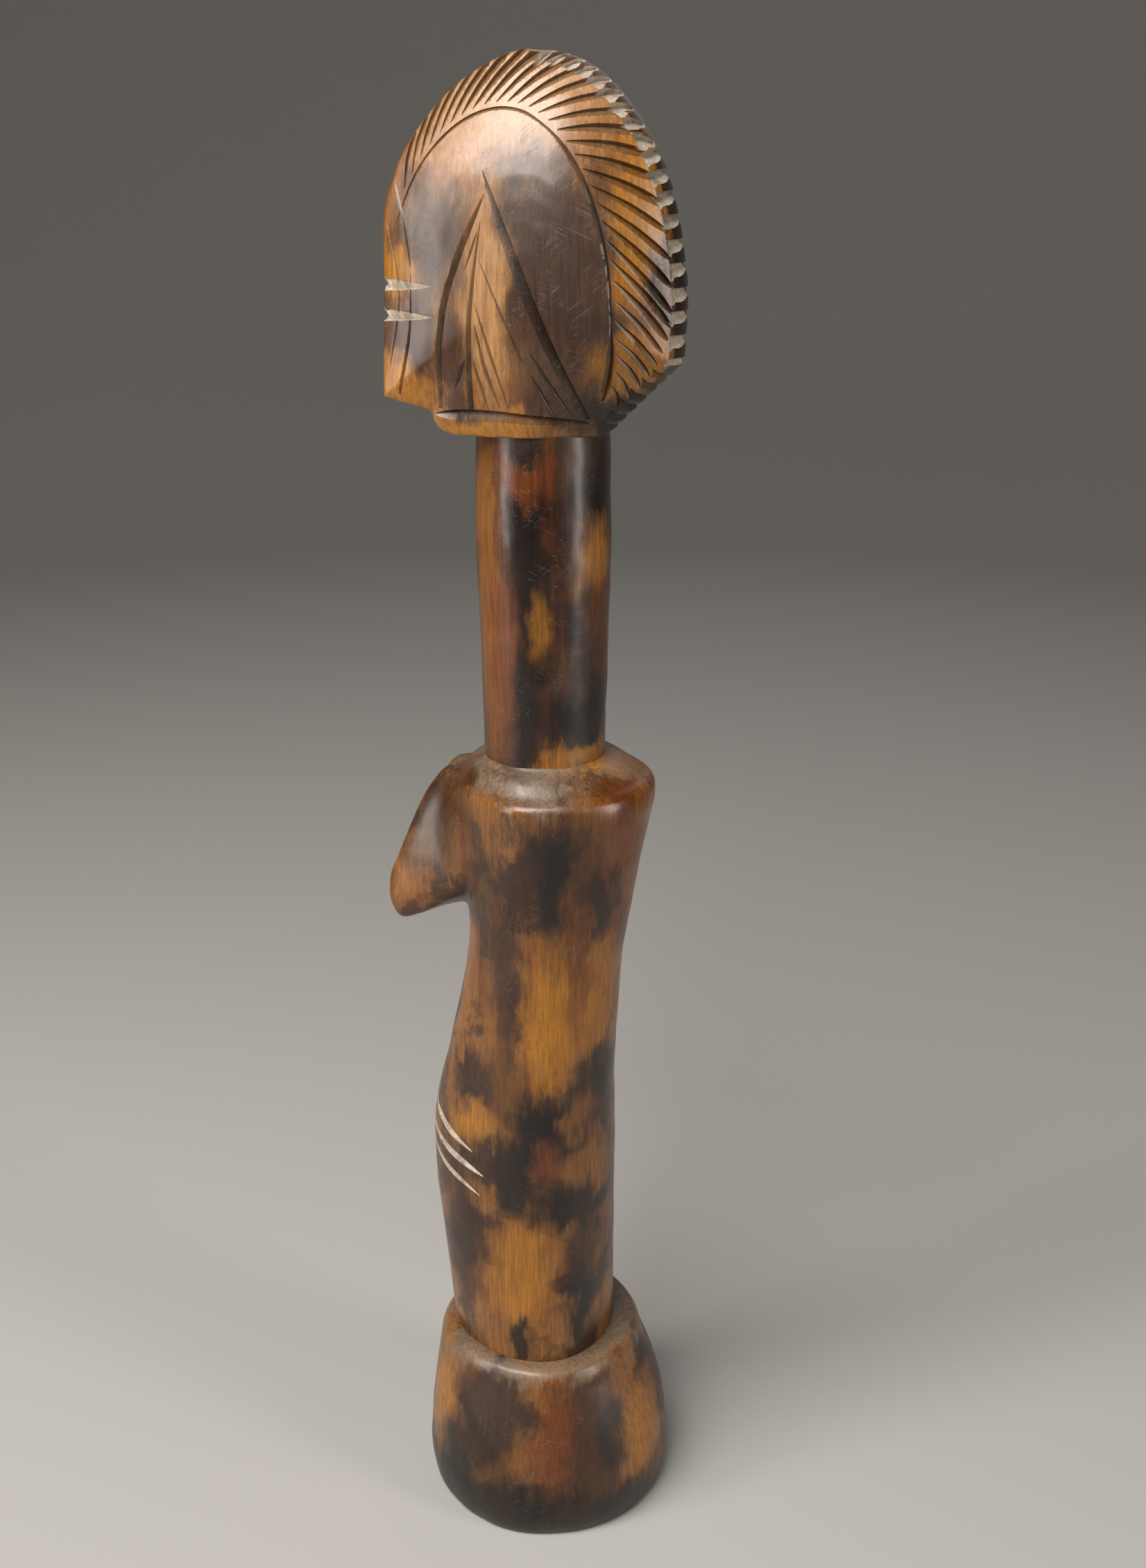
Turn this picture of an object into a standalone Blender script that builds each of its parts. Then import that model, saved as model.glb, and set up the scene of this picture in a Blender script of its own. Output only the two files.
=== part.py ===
# A carved wooden fertility doll: a drum-shaped base, a torso with a swelling belly and two projecting
# breasts, a plain round neck, and a flat helmet-shaped head with a notched crest down its back.
# Metres, +Z up. The doll faces -Y and its left side is +X. The origin is the centre of the underside.

import math

import bmesh
import bpy

SEAM = 0.0003  # gap between neighbouring carved sections
SEAT_MARGIN = 0.0006  # how far a seat reaches past the section that stands on it

# Base: a stump that flares towards its foot.
BASE_HEIGHT = 0.0355
BASE_FRONT_LEDGE = 0.0029  # widths of the ledge round the torso's foot, with its rounded rim
BASE_BACK_LEDGE = 0.0057
BASE_SIDE_LEDGE = 0.0042
BASE_RIM_INSET = 0.0032  # how far in the rounded rim reaches
BASE_RIM_DROP = 0.0050  # how far the rounded rim falls
BASE_FLARE_RADIUS = 0.0245
BASE_FLARE_HEIGHT = 0.008
BASE_SOLE_RADIUS = 0.0226
BASE_FRONT_SWELL = 0.0004  # how far the front and the sides swell beyond a straight taper
BASE_BACK_SWELL = 0.0014

# Torso: front, back and side reaches from the axis.
TORSO_FOOT_RADIUS = 0.0159
TORSO_FOOT_FORWARD = 0.0029
BELLY_FRONT = 0.0224
BELLY_BACK = 0.0129
BELLY_SIDE = 0.0164
WAIST_FRONT = 0.0143
WAIST_BACK = 0.0148
WAIST_SIDE = 0.0146
SHOULDER_FRONT = 0.0176
SHOULDER_BACK = 0.0199
SHOULDER_SIDE = 0.0186
FOOT_TO_BELLY = 0.0405
BELLY_TO_WAIST = 0.0450
WAIST_TO_SHOULDER = 0.0274
SHOULDER_ROUNDING = 0.0042
SHOULDER_SLOPE = 0.0026  # rise of the shoulder top from its rim to the neck
SHOULDER_FULLNESS = 1.5  # 2 would make the front of the shoulders an ellipse, 1 a wedge

# Breasts: a pair that starts at a flat chest plane and hangs forwards and down. In front of the chest each
# one has an upright outer side, and under it a facet that slopes in to a keel beside the middle.
CHEST_PLANE = 0.0116  # distance of the chest plane in front of the axis
BREAST_REACH = 0.0170  # from the chest plane to the tip
BREAST_WIDTH = 0.0118  # outer side at the root, from the middle
BREAST_TOP_WIDTH = 0.0098  # the same at the top of the root
BREAST_KEEL = 0.0034  # the keel, from the middle
BREAST_DROP = 0.0005  # from the shoulder top down to the top of the root
BREAST_DEPTH = 0.0285  # from the top of the root down to its keel
CLEAVAGE = 0.0005  # gap between the two breasts at the root
BREAST_ROUNDING = 0.2  # share of each side that its rounded corners take
BREAST_SECTIONS = (
    # reach, cleavage, ridge, width: shares of their sizes above; then the levels of the top, of the
    # side's lower edge and of the keel, as shares of the depth
    (0.00, 0.5, 1.00, 1.00, 0.000, 0.720, 1.000),
    (0.20, 0.5, 0.74, 0.93, 0.020, 0.830, 1.018),
    (0.38, 1.0, 0.54, 0.87, 0.050, 0.930, 1.042),
    (0.62, 2.0, 0.56, 0.80, 0.285, 1.040, 1.090),
    (0.85, 4.0, 0.60, 0.70, 0.620, 1.095, 1.130),
    (0.96, 5.0, 0.56, 0.62, 0.770, 1.020, 1.050),
    (1.00, 6.0, 0.52, 0.54, 0.830, 0.930, 0.970),
)

# Neck
NECK_LENGTH = 0.0572
NECK_FOOT_RADIUS = 0.0107
NECK_MIDDLE_RADIUS = 0.0116
NECK_TOP_RADIUS = 0.0113
NECK_MIDDLE = 0.70  # share of the length up to the middle radius

# Head: a flat helmet seen from the side, with a plane face.
HEAD_HEIGHT = 0.0587
FACE_REACH = 0.0239  # face plane, in front of the axis
CROWN_BACK = 0.0005  # the highest point, behind the axis
HEAD_BACK_REACH = 0.0242
HEAD_BACK_HEIGHT = 0.0190  # level of the furthest point back
HEEL_HEIGHT = 0.0116  # level of the corner where the nape facet starts
HEEL_INSET = 0.0004  # how far that corner stands in from the furthest point back
BROW_HEIGHT = 0.0315  # level where the face plane turns into the crown
FOREHEAD_FULLNESS = 1.8  # 2 would make the forehead an ellipse
CHIN_HEIGHT = 0.0060
JAW_HEIGHT = 0.0048
JAW_LENGTH = 0.0040  # from the neck's front to the jaw's bend
HEAD_WIDTH = 0.0300
CHIN_WIDTH = 0.0225
BROW_WIDTH = 0.0180
CREST_WIDTH = 0.0086
NAPE_WIDTH = 0.0140
HUB_BACK = 0.0010  # middle of the domed cheeks
HUB_HEIGHT = 0.0235
DOME_POWER = 2.2

# Crest: two rows of teeth, parted by a groove.
NOTCH_PITCH = 0.0034
NOTCH_DEPTH = 0.0009
CREST_GROOVE_DEPTH = 0.0006

ROUND_SIDES = 40
OUTLINE_STEP = 0.0030
CHEEK_SHARES = (0.15, 0.36, 0.55, 0.71, 0.84, 0.94)

TORSO_BOTTOM = BASE_HEIGHT + SEAM
SHOULDER_LEVEL = TORSO_BOTTOM + FOOT_TO_BELLY + BELLY_TO_WAIST + WAIST_TO_SHOULDER
SHOULDER_TOP = SHOULDER_LEVEL + SHOULDER_ROUNDING + SHOULDER_SLOPE
NECK_BOTTOM = SHOULDER_TOP + SEAM
NECK_TOP = NECK_BOTTOM + NECK_LENGTH
HEAD_BOTTOM = NECK_TOP + SEAM


def clear_scene():
    for obj in list(bpy.data.objects):
        bpy.data.objects.remove(obj)


def wood(name, colour, roughness):
    material = bpy.data.materials.new(name)
    material.use_nodes = True
    shader = material.node_tree.nodes["Principled BSDF"]
    shader.inputs["Base Color"].default_value = (*colour, 1.0)
    shader.inputs["Roughness"].default_value = roughness
    shader.inputs["Metallic"].default_value = 0.0
    return material


def oval(level, front, back, side, fullness=2.0):
    """A level ring with its own reach to the front, to the back and to each side."""
    points = []
    for i in range(ROUND_SIDES):
        turn = 2 * math.pi * i / ROUND_SIDES
        across = math.cos(turn)
        along = math.sin(turn)
        if along < 0:
            across = math.copysign(abs(across) ** (2 / fullness), across)
            along = -(abs(along) ** (2 / fullness))
        reach = back if along > 0 else front
        points.append((side * across, reach * along, level))
    return points


def smooth_rows(rows, per_span):
    """More rows on a smooth curve through the given ones."""
    smooth = []
    for i in range(len(rows) - 1):
        before = rows[max(i - 1, 0)]
        after = rows[min(i + 2, len(rows) - 1)]
        for k in range(per_span):
            t = k / per_span
            row = []
            for a, b, c, d in zip(before, rows[i], rows[i + 1], after):
                bend = 2 * a - 5 * b + 4 * c - d
                twist = 3 * b - 3 * c + d - a
                row.append(b + 0.5 * t * (c - a + t * (bend + t * twist)))
            smooth.append(row)
    smooth.append(list(rows[-1]))
    return smooth


def ring_edges(bm, points):
    verts = [bm.verts.new(point) for point in points]
    return [bm.edges.new((verts[i - 1], verts[i])) for i in range(len(verts))]


def skin(name, rings):
    """One closed body skinned over a row of rings, with both ends closed."""
    bm = bmesh.new()
    loops = [ring_edges(bm, points) for points in rings]
    for lower, upper in zip(loops, loops[1:]):
        bmesh.ops.bridge_loops(bm, edges=lower + upper)
    for end in (loops[0], loops[-1]):
        bmesh.ops.contextual_create(bm, geom=end)
    bmesh.ops.recalc_face_normals(bm, faces=bm.faces)
    mesh = bpy.data.meshes.new(name)
    bm.to_mesh(mesh)
    bm.free()
    obj = bpy.data.objects.new(name, mesh)
    bpy.context.scene.collection.objects.link(obj)
    return obj


def carve(name, rings, material):
    """A carved section: skinned, shaded and given its wood."""
    obj = skin(name, rings)
    obj.data.shade_smooth()
    obj.data.set_sharp_from_angle(angle=math.radians(40))
    obj.data.materials.append(material)
    return obj


def torso_foot():
    return TORSO_FOOT_RADIUS + TORSO_FOOT_FORWARD, TORSO_FOOT_RADIUS - TORSO_FOOT_FORWARD


def make_base():
    front, back = torso_foot()
    flare = BASE_FLARE_RADIUS
    rim_level = BASE_HEIGHT - BASE_RIM_DROP
    rim = (front + BASE_FRONT_LEDGE, back + BASE_BACK_LEDGE, TORSO_FOOT_RADIUS + BASE_SIDE_LEDGE)
    swells = (BASE_FRONT_SWELL, BASE_BACK_SWELL, BASE_FRONT_SWELL)
    middle = [(flare + reach) / 2 + swell for reach, swell in zip(rim, swells)]
    rows = [
        (BASE_FLARE_HEIGHT, flare, flare, flare),
        ((BASE_FLARE_HEIGHT + rim_level) / 2, *middle),
        (rim_level, *rim),
    ]
    rings = [oval(0.0, *[BASE_SOLE_RADIUS] * 3)]
    rounding = flare - BASE_SOLE_RADIUS
    for turn in (30, 60):
        angle = math.radians(turn)
        radius = BASE_SOLE_RADIUS + rounding * math.sin(angle)
        rings.append(oval(BASE_FLARE_HEIGHT * (1 - math.cos(angle)), radius, radius, radius))
    rings += [oval(*row) for row in smooth_rows(rows, 3)]
    for turn in (30, 60, 90):
        angle = math.radians(turn)
        inset = BASE_RIM_INSET * (1 - math.cos(angle))
        level = rim_level + BASE_RIM_DROP * math.sin(angle)
        rings.append(oval(level, *[reach - inset for reach in rim]))
    return carve("base", rings, wood("base wood", (0.13, 0.055, 0.016), 0.42))


def torso_rows():
    front, back = torso_foot()
    belly = TORSO_BOTTOM + FOOT_TO_BELLY
    waist = belly + BELLY_TO_WAIST
    between = (belly + waist) / 2
    side = (BELLY_SIDE + WAIST_SIDE) / 2
    return [
        (TORSO_BOTTOM, front, back, TORSO_FOOT_RADIUS, 2.0),
        (belly, BELLY_FRONT, BELLY_BACK, BELLY_SIDE, 2.0),
        (between, (BELLY_FRONT + WAIST_FRONT) / 2, BELLY_BACK, side, 2.0),
        (waist, WAIST_FRONT, WAIST_BACK, WAIST_SIDE, 2.0),
        (SHOULDER_LEVEL, SHOULDER_FRONT, SHOULDER_BACK, SHOULDER_SIDE, SHOULDER_FULLNESS),
    ]


def make_torso():
    rings = [oval(*row) for row in smooth_rows(torso_rows(), 4)]
    for turn in (25, 50, 75):
        angle = math.radians(turn)
        inset = SHOULDER_ROUNDING * (1 - math.cos(angle))
        level = SHOULDER_LEVEL + SHOULDER_ROUNDING * math.sin(angle)
        reaches = (SHOULDER_FRONT - inset, SHOULDER_BACK - inset, SHOULDER_SIDE - inset)
        rings.append(oval(level, *reaches, SHOULDER_FULLNESS))
    seat = NECK_FOOT_RADIUS + SEAT_MARGIN
    rings.append(oval(SHOULDER_TOP, seat, seat, seat))
    torso = carve("torso", rings, wood("torso wood", (0.17, 0.065, 0.015), 0.38))
    cut_chest(torso)
    return torso


def breast_rows():
    """Sections from the chest plane to the tip: the distance ahead of the plane, the inner side, the ridge,
    the outer side, and the levels of the top, of the side's lower edge and of the keel."""
    top = SHOULDER_TOP - BREAST_DROP
    rows = []
    for share, gap, ridge, width, *drops in smooth_rows(BREAST_SECTIONS, 3):
        sides = (gap * CLEAVAGE, ridge * BREAST_TOP_WIDTH, width * BREAST_WIDTH)
        rows.append((share * BREAST_REACH, *sides, *[top - drop * BREAST_DEPTH for drop in drops]))
    return rows


def cut_chest(torso):
    """Trims the torso's front to the chest plane, sunk to clear the forward slope of the undersides."""
    rows = breast_rows()
    _, _, _, outer, _, side, keel = rows[0]
    fall = (side - rows[1][5]) / rows[1][0]
    sink = SEAM + fall * (WAIST_FRONT - CHEST_PLANE) / 2
    reach = 2 * SHOULDER_SIDE
    far = keel + (side - keel) * (reach - BREAST_KEEL) / (outer - BREAST_KEEL)
    profile = [(BREAST_KEEL, keel - sink), (reach, far - sink), (reach, 2 * SHOULDER_TOP)]
    profile += [(-x, z) for x, z in profile[::-1]]
    ends = (-CHEST_PLANE, -CHEST_PLANE - 2 * SHOULDER_FRONT)
    rings = [[(x, y, z) for x, z in profile] for y in ends]
    cutter = skin("chest_cutter", rings)
    cutter.hide_render = True
    cutter.display_type = "WIRE"
    trim = torso.modifiers.new("chest plane", "BOOLEAN")
    trim.operation = "DIFFERENCE"
    trim.solver = "EXACT"
    trim.object = cutter


def rounded(corners, times=2):
    """The same closed outline with its corners cut off, over and over."""
    for _ in range(times):
        cut = []
        for i, corner in enumerate(corners):
            after = corners[(i + 1) % len(corners)]
            for share in (BREAST_ROUNDING, 1 - BREAST_ROUNDING):
                cut.append([a + share * (b - a) for a, b in zip(corner, after)])
        corners = cut
    return corners


def breast_rings(hand):
    """Upright rings from the chest plane out to the tip; hand is 1 for the left breast, -1 for the right."""
    rings = []
    for ahead, inner, upper, outer, high, side, low in breast_rows():
        keel = inner + (outer - inner) * BREAST_KEEL / BREAST_WIDTH
        corners = [(inner, high), (upper, high), (outer, side), (keel, low), (inner, low)]
        y = -CHEST_PLANE - SEAM - ahead
        rings.append([(hand * x, y, z) for x, z in rounded(corners)])
    return rings


def make_breasts():
    material = wood("breast wood", (0.20, 0.085, 0.024), 0.40)
    carve("left_breast", breast_rings(1), material)
    carve("right_breast", breast_rings(-1), material)


def make_neck():
    middle = NECK_LENGTH * NECK_MIDDLE
    rows = [
        (NECK_BOTTOM, NECK_FOOT_RADIUS),
        (NECK_BOTTOM + middle / 2, (NECK_FOOT_RADIUS + NECK_MIDDLE_RADIUS) / 2),
        (NECK_BOTTOM + middle, NECK_MIDDLE_RADIUS),
        (NECK_TOP, NECK_TOP_RADIUS),
    ]
    rings = [oval(level, radius, radius, radius) for level, radius in smooth_rows(rows, 3)]
    return carve("neck", rings, wood("neck wood", (0.10, 0.042, 0.013), 0.34))


def spaced(points, step):
    """The same line with evenly spaced points, without its last one."""
    ends = [0.0]
    for a, b in zip(points, points[1:]):
        ends.append(ends[-1] + math.dist(a, b))
    count = max(1, round(ends[-1] / step))
    even = []
    span = 0
    for k in range(count):
        along = ends[-1] * k / count
        while ends[span + 1] < along:
            span += 1
        t = (along - ends[span]) / (ends[span + 1] - ends[span])
        even.append([a + t * (b - a) for a, b in zip(points[span], points[span + 1])])
    return even


def quarter(middle, reach, rise, fullness=2.0, steps=24):
    """Points from the top of an ellipse down to its side, which reach gives with its sign."""
    points = []
    for k in range(steps + 1):
        turn = math.radians(90 * k / steps)
        across = math.sin(turn) ** (2 / fullness)
        up = math.cos(turn) ** (2 / fullness)
        points.append((middle[0] + reach * across, middle[1] + rise * up))
    return points


def head_outline():
    """The side outline as (y, height, half width, on the crest), round from the chin over the crown."""
    crown = (CROWN_BACK, HEAD_HEIGHT)
    jaw_front = -NECK_TOP_RADIUS - SEAT_MARGIN
    nape_back = NECK_TOP_RADIUS + SEAT_MARGIN
    chin = (-FACE_REACH, CHIN_HEIGHT)
    brow = (-FACE_REACH, BROW_HEIGHT)
    jaw = (jaw_front - JAW_LENGTH, JAW_HEIGHT)
    heel = (HEAD_BACK_REACH - HEEL_INSET, HEEL_HEIGHT)
    brow_rise = HEAD_HEIGHT - BROW_HEIGHT
    back_rise = HEAD_HEIGHT - HEAD_BACK_HEIGHT
    forehead = quarter((crown[0], BROW_HEIGHT), -FACE_REACH - crown[0], brow_rise, FOREHEAD_FULLNESS)[::-1]
    back = quarter((crown[0], HEAD_BACK_HEIGHT), HEAD_BACK_REACH - crown[0], back_rise)
    crest = CREST_WIDTH / 2
    nape = NAPE_WIDTH / 2
    seat = NECK_TOP_RADIUS + 2 * SEAT_MARGIN
    stretches = [
        ([chin, brow], CHIN_WIDTH / 2, BROW_WIDTH / 2, OUTLINE_STEP, False),
        (forehead, BROW_WIDTH / 2, crest, OUTLINE_STEP, False),
        (back + [heel], crest, crest, NOTCH_PITCH / 2, True),
        ([heel, (nape_back, 0.0)], crest, nape, NOTCH_PITCH / 2, True),
        ([(nape_back, 0.0), (0.0, 0.0)], nape, seat, OUTLINE_STEP, False),
        ([(0.0, 0.0), (jaw_front, 0.0)], seat, CHIN_WIDTH / 2, OUTLINE_STEP, False),
        ([(jaw_front, 0.0), jaw, chin], CHIN_WIDTH / 2, CHIN_WIDTH / 2, OUTLINE_STEP, False),
    ]
    outline = []
    for points, first, last, step, crested in stretches:
        even = spaced(points, step)
        for k, (y, height) in enumerate(even):
            t = k / len(even)
            ease = t * t * (3 - 2 * t)
            outline.append((y, height, first + (last - first) * ease, crested))
    return outline


def head_rings():
    """Rings from the left cheek's middle out to the rim, across the crest, and back in on the right."""
    outline = head_outline()
    hub = (HUB_BACK, HUB_HEIGHT)
    half = HEAD_WIDTH / 2

    def ring(share, hand, notched, sunk):
        points = []
        teeth = 0
        for y, height, rim, crested in outline:
            teeth = teeth + 1 if crested else 0
            away = math.dist((y, height), hub)
            cut = sunk if crested else 0.0
            if notched and crested and teeth % 2 == 0:
                cut = max(cut, NOTCH_DEPTH)
            pull = share * (1 - cut / away)
            bulge = rim + (half - rim) * (1 - share**DOME_POWER)
            x = hand * bulge
            points.append((x, hub[0] + pull * (y - hub[0]), HEAD_BOTTOM + hub[1] + pull * (height - hub[1])))
        return points

    left = [ring(share, 1, False, 0.0) for share in CHEEK_SHARES] + [ring(1.0, 1, True, 0.0)]
    right = [ring(share, -1, False, 0.0) for share in CHEEK_SHARES] + [ring(1.0, -1, True, 0.0)]
    middle = ring(1.0, 0, True, CREST_GROOVE_DEPTH)
    return left + [middle] + right[::-1]


def make_head():
    return carve("head", head_rings(), wood("head wood", (0.22, 0.10, 0.032), 0.40))


def main():
    clear_scene()
    make_base()
    make_torso()
    make_breasts()
    make_neck()
    make_head()


main()
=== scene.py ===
# A carved wooden fertility doll on a pale floor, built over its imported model.
# Sizes in the dictionaries are millimetres and degrees unless a note says otherwise.
import math
import random

import bmesh
import bpy
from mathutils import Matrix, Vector, noise
from mathutils.bvhtree import BVHTree


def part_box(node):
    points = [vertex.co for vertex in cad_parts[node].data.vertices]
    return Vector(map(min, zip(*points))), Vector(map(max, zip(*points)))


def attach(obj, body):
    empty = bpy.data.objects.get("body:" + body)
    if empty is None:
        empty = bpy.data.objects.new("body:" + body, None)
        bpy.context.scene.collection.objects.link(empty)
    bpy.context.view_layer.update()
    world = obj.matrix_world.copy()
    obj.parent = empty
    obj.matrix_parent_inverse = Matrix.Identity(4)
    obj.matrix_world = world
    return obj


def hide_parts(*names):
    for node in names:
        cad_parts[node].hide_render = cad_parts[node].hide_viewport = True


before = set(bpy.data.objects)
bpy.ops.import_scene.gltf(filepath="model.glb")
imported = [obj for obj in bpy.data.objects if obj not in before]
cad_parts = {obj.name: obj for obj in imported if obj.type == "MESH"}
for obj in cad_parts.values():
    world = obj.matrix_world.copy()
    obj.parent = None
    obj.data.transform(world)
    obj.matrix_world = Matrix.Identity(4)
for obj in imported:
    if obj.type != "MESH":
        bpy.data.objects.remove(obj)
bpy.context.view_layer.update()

mm = 0.001
clear = 60  # further out than any piece reaches, where the rays that find the surface start

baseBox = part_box("base")
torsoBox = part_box("torso")
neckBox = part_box("neck")
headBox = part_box("head")
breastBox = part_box("left_breast")


# camera, floor and light

viewing = {
    "azimuth": 105,  # the camera stands by the doll's left side, a little behind it
    "distance": 290,
    "aside": 5,
    "height": 255.4,
    "tiltDown": 20,
    "lens": 39.2,  # on the 36 mm side that runs up the frame
}


def towards(azimuth, elevation=0):
    turn, rise = math.radians(azimuth), math.radians(elevation)
    return Vector((math.sin(turn) * math.cos(rise), -math.cos(turn) * math.cos(rise), math.sin(rise)))


def setCamera(view):
    camera = bpy.data.objects.new("camera", bpy.data.cameras.new("camera"))
    bpy.context.scene.collection.objects.link(camera)
    camera.data.lens = view["lens"]
    camera.data.sensor_width = 36
    camera.data.clip_start = 0.01
    out = towards(view["azimuth"])
    aside = Vector((-out.y, out.x, 0))
    camera.location = (out * view["distance"] + aside * view["aside"]) * mm
    camera.location.z = view["height"] * mm
    aim = -towards(view["azimuth"], view["tiltDown"])
    camera.rotation_euler = aim.to_track_quat("-Z", "Y").to_euler()
    bpy.context.scene.camera = camera


lighting = {
    "sky": ("#E9ECF0", 0.06),
    # name: azimuth from the camera, elevation, distance, width, height, watts, colour
    "lamps": {
        "window": (-66, 20, 700, 170, 640, 3.5, "#FFF8F0"),
        "top softbox": (-34, 52, 620, 420, 320, 6.6, "#FFFEFC"),
        "side softbox": (60, 12, 720, 165, 640, 3.1, "#FFFAF4"),
        "back fill": (165, 35, 900, 600, 600, 0.45, "#F4F7FF"),
    },
}


def linear(hexColour):
    channels = [int(hexColour[i:i + 2], 16) / 255 for i in (1, 3, 5)]
    return (*[c / 12.92 if c <= 0.04045 else ((c + 0.055) / 1.055) ** 2.4 for c in channels], 1.0)


def setLights(plan, view):
    world = bpy.data.worlds.new("studio")
    bpy.context.scene.world = world
    world.use_nodes = True
    sky = world.node_tree.nodes["Background"]
    sky.inputs["Color"].default_value = linear(plan["sky"][0])
    sky.inputs["Strength"].default_value = plan["sky"][1]
    middle = Vector((0, 0, headBox[1].z / 2))
    for name, (turn, rise, far, width, height, watts, colour) in plan["lamps"].items():
        lamp = bpy.data.lights.new(name, "AREA")
        lamp.shape = "RECTANGLE"
        lamp.size = width * mm
        lamp.size_y = height * mm
        lamp.energy = watts
        lamp.color = linear(colour)[:3]
        holder = bpy.data.objects.new(name, lamp)
        bpy.context.scene.collection.objects.link(holder)
        out = towards(view["azimuth"] + turn, rise)
        holder.location = middle + out * far * mm
        holder.rotation_euler = (-out).to_track_quat("-Z", "Y").to_euler()
        holder.visible_camera = False
    bpy.context.scene.view_settings.view_transform = "Standard"


# shared workshop functions


def ringEdges(bm, points):
    # one closed ring with its vertices put in their places
    verts = bmesh.ops.create_circle(bm, segments=len(points), radius=mm)["verts"]
    for vert, point in zip(verts, points):
        vert.co = point
    return list({edge for vert in verts for edge in vert.link_edges})


def drawUp(bm, rings):
    # a closed skin over a row of rings
    loops = [ringEdges(bm, points) for points in rings]
    for lower, upper in zip(loops, loops[1:]):
        bmesh.ops.bridge_loops(bm, edges=lower + upper)
    for end in (loops[0], loops[-1]):
        bmesh.ops.contextual_create(bm, geom=end)


def finishObject(name, bm, *woods):
    bmesh.ops.recalc_face_normals(bm, faces=bm.faces)
    mesh = bpy.data.meshes.new(name)
    bm.to_mesh(mesh)
    bm.free()
    for wood in woods:
        mesh.materials.append(wood)
    piece = bpy.data.objects.new(name, mesh)
    bpy.context.scene.collection.objects.link(piece)
    return piece


def bake(piece):
    # the modifiers' result becomes the mesh
    bpy.context.view_layer.update()
    graph = bpy.context.evaluated_depsgraph_get()
    mesh = bpy.data.meshes.new_from_object(piece.evaluated_get(graph))
    piece.modifiers.clear()
    old, piece.data = piece.data, mesh
    bpy.data.meshes.remove(old)


def evenSkin(piece, voxel, rounds):
    # one even skin over all of the shapes in the piece, with its edges eased
    remesh = piece.modifiers.new("even skin", "REMESH")
    remesh.mode = "VOXEL"
    remesh.voxel_size = voxel * mm
    ease = piece.modifiers.new("eased", "SMOOTH")
    ease.factor = 0.5
    ease.iterations = rounds
    bake(piece)


def knifeWork(piece, waves, seed):
    # waves: (length, height) of the soft unevenness that a knife and rubbing leave
    bm = bmesh.new()
    bm.from_mesh(piece.data)
    bm.normal_update()
    shift = Vector((seed, 2 * seed, 3 * seed))
    for vert in bm.verts:
        out = sum(height * noise.noise(vert.co / (length * mm) + shift) for length, height in waves)
        vert.co += vert.normal * out * mm
    bm.to_mesh(piece.data)
    bm.free()


def smoothRow(rows, steps):
    # more rows on a smooth curve through the given ones
    smooth = []
    for i in range(len(rows) - 1):
        before, after = rows[max(i - 1, 0)], rows[min(i + 2, len(rows) - 1)]
        for k in range(steps):
            t = k / steps
            smooth.append([
                b + 0.5 * t * (c - a + t * (2 * a - 5 * b + 4 * c - d + t * (3 * b - 3 * c + d - a)))
                for a, b, c, d in zip(before, rows[i], rows[i + 1], after)
            ])
    smooth.append(list(rows[-1]))
    return smooth


def oval(level, front, back, side, fullness=2.0, sides=120):
    # a level ring; fullness shapes its front half, 2 for an ellipse and less for a wedge
    points = []
    for i in range(sides):
        turn = 2 * math.pi * i / sides
        across, along = math.cos(turn), math.sin(turn)
        if along < 0:
            across = math.copysign(abs(across) ** (2 / fullness), across)
            along = -(abs(along) ** (2 / fullness))
        reach = back if along > 0 else front
        points.append(Vector((side * across, reach * along, level)) * mm)
    return points


def treeOf(piece):
    bm = bmesh.new()
    bm.from_mesh(piece.data)
    tree = BVHTree.FromBMesh(bm)
    bm.free()
    return tree


def swell(t, peak, end):
    # share of a cut's full width along it: a thin start, full at its peak, then down to its end share
    if t < peak:
        return 0.10 + 0.90 * math.sin(math.pi / 2 * t / peak)
    return end + (1 - end) * math.cos(math.pi / 2 * (t - peak) / (1 - peak))


def cutBlade(bm, spots, width, peak, end, depthShare=0.5, lean=0.34, proud=0.5):
    # a V-shaped blade sunk along the spots, which are places on the surface with their normals; it leans, so
    # the upper wall is steep and the lower one lies open to the light
    rings = []
    last = len(spots) - 1
    for i, (place, normal) in enumerate(spots):
        along = (spots[min(i + 1, last)][0] - spots[max(i - 1, 0)][0]).normalized()
        across = normal.cross(along).normalized()
        wide = width * swell(i / last, peak, end) * mm
        deep = wide * depthShare
        spread = wide / 2 * (deep + proud * mm) / deep
        tilt = lean * wide * math.copysign(1, normal.x)
        bottom = place - normal * deep + across * tilt
        lip = bottom + normal * (deep + proud * mm)
        share = 2 * tilt / wide
        rings.append([bottom, lip + across * spread * (1 - share), lip - across * spread * (1 + share)])
    drawUp(bm, rings)


def carve(piece, groups, cutWood):
    # each group is a bmesh of blades that don't touch one another; their faces leave the cut wood behind
    for number, bm in enumerate(groups):
        blade = finishObject(f"blade {number}", bm, cutWood)
        cut = piece.modifiers.new(blade.name, "BOOLEAN")
        cut.operation = "DIFFERENCE"
        cut.solver = "MANIFOLD"
        cut.material_mode = "TRANSFER"
        cut.object = blade
        bake(piece)
        bpy.data.objects.remove(blade)


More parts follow.
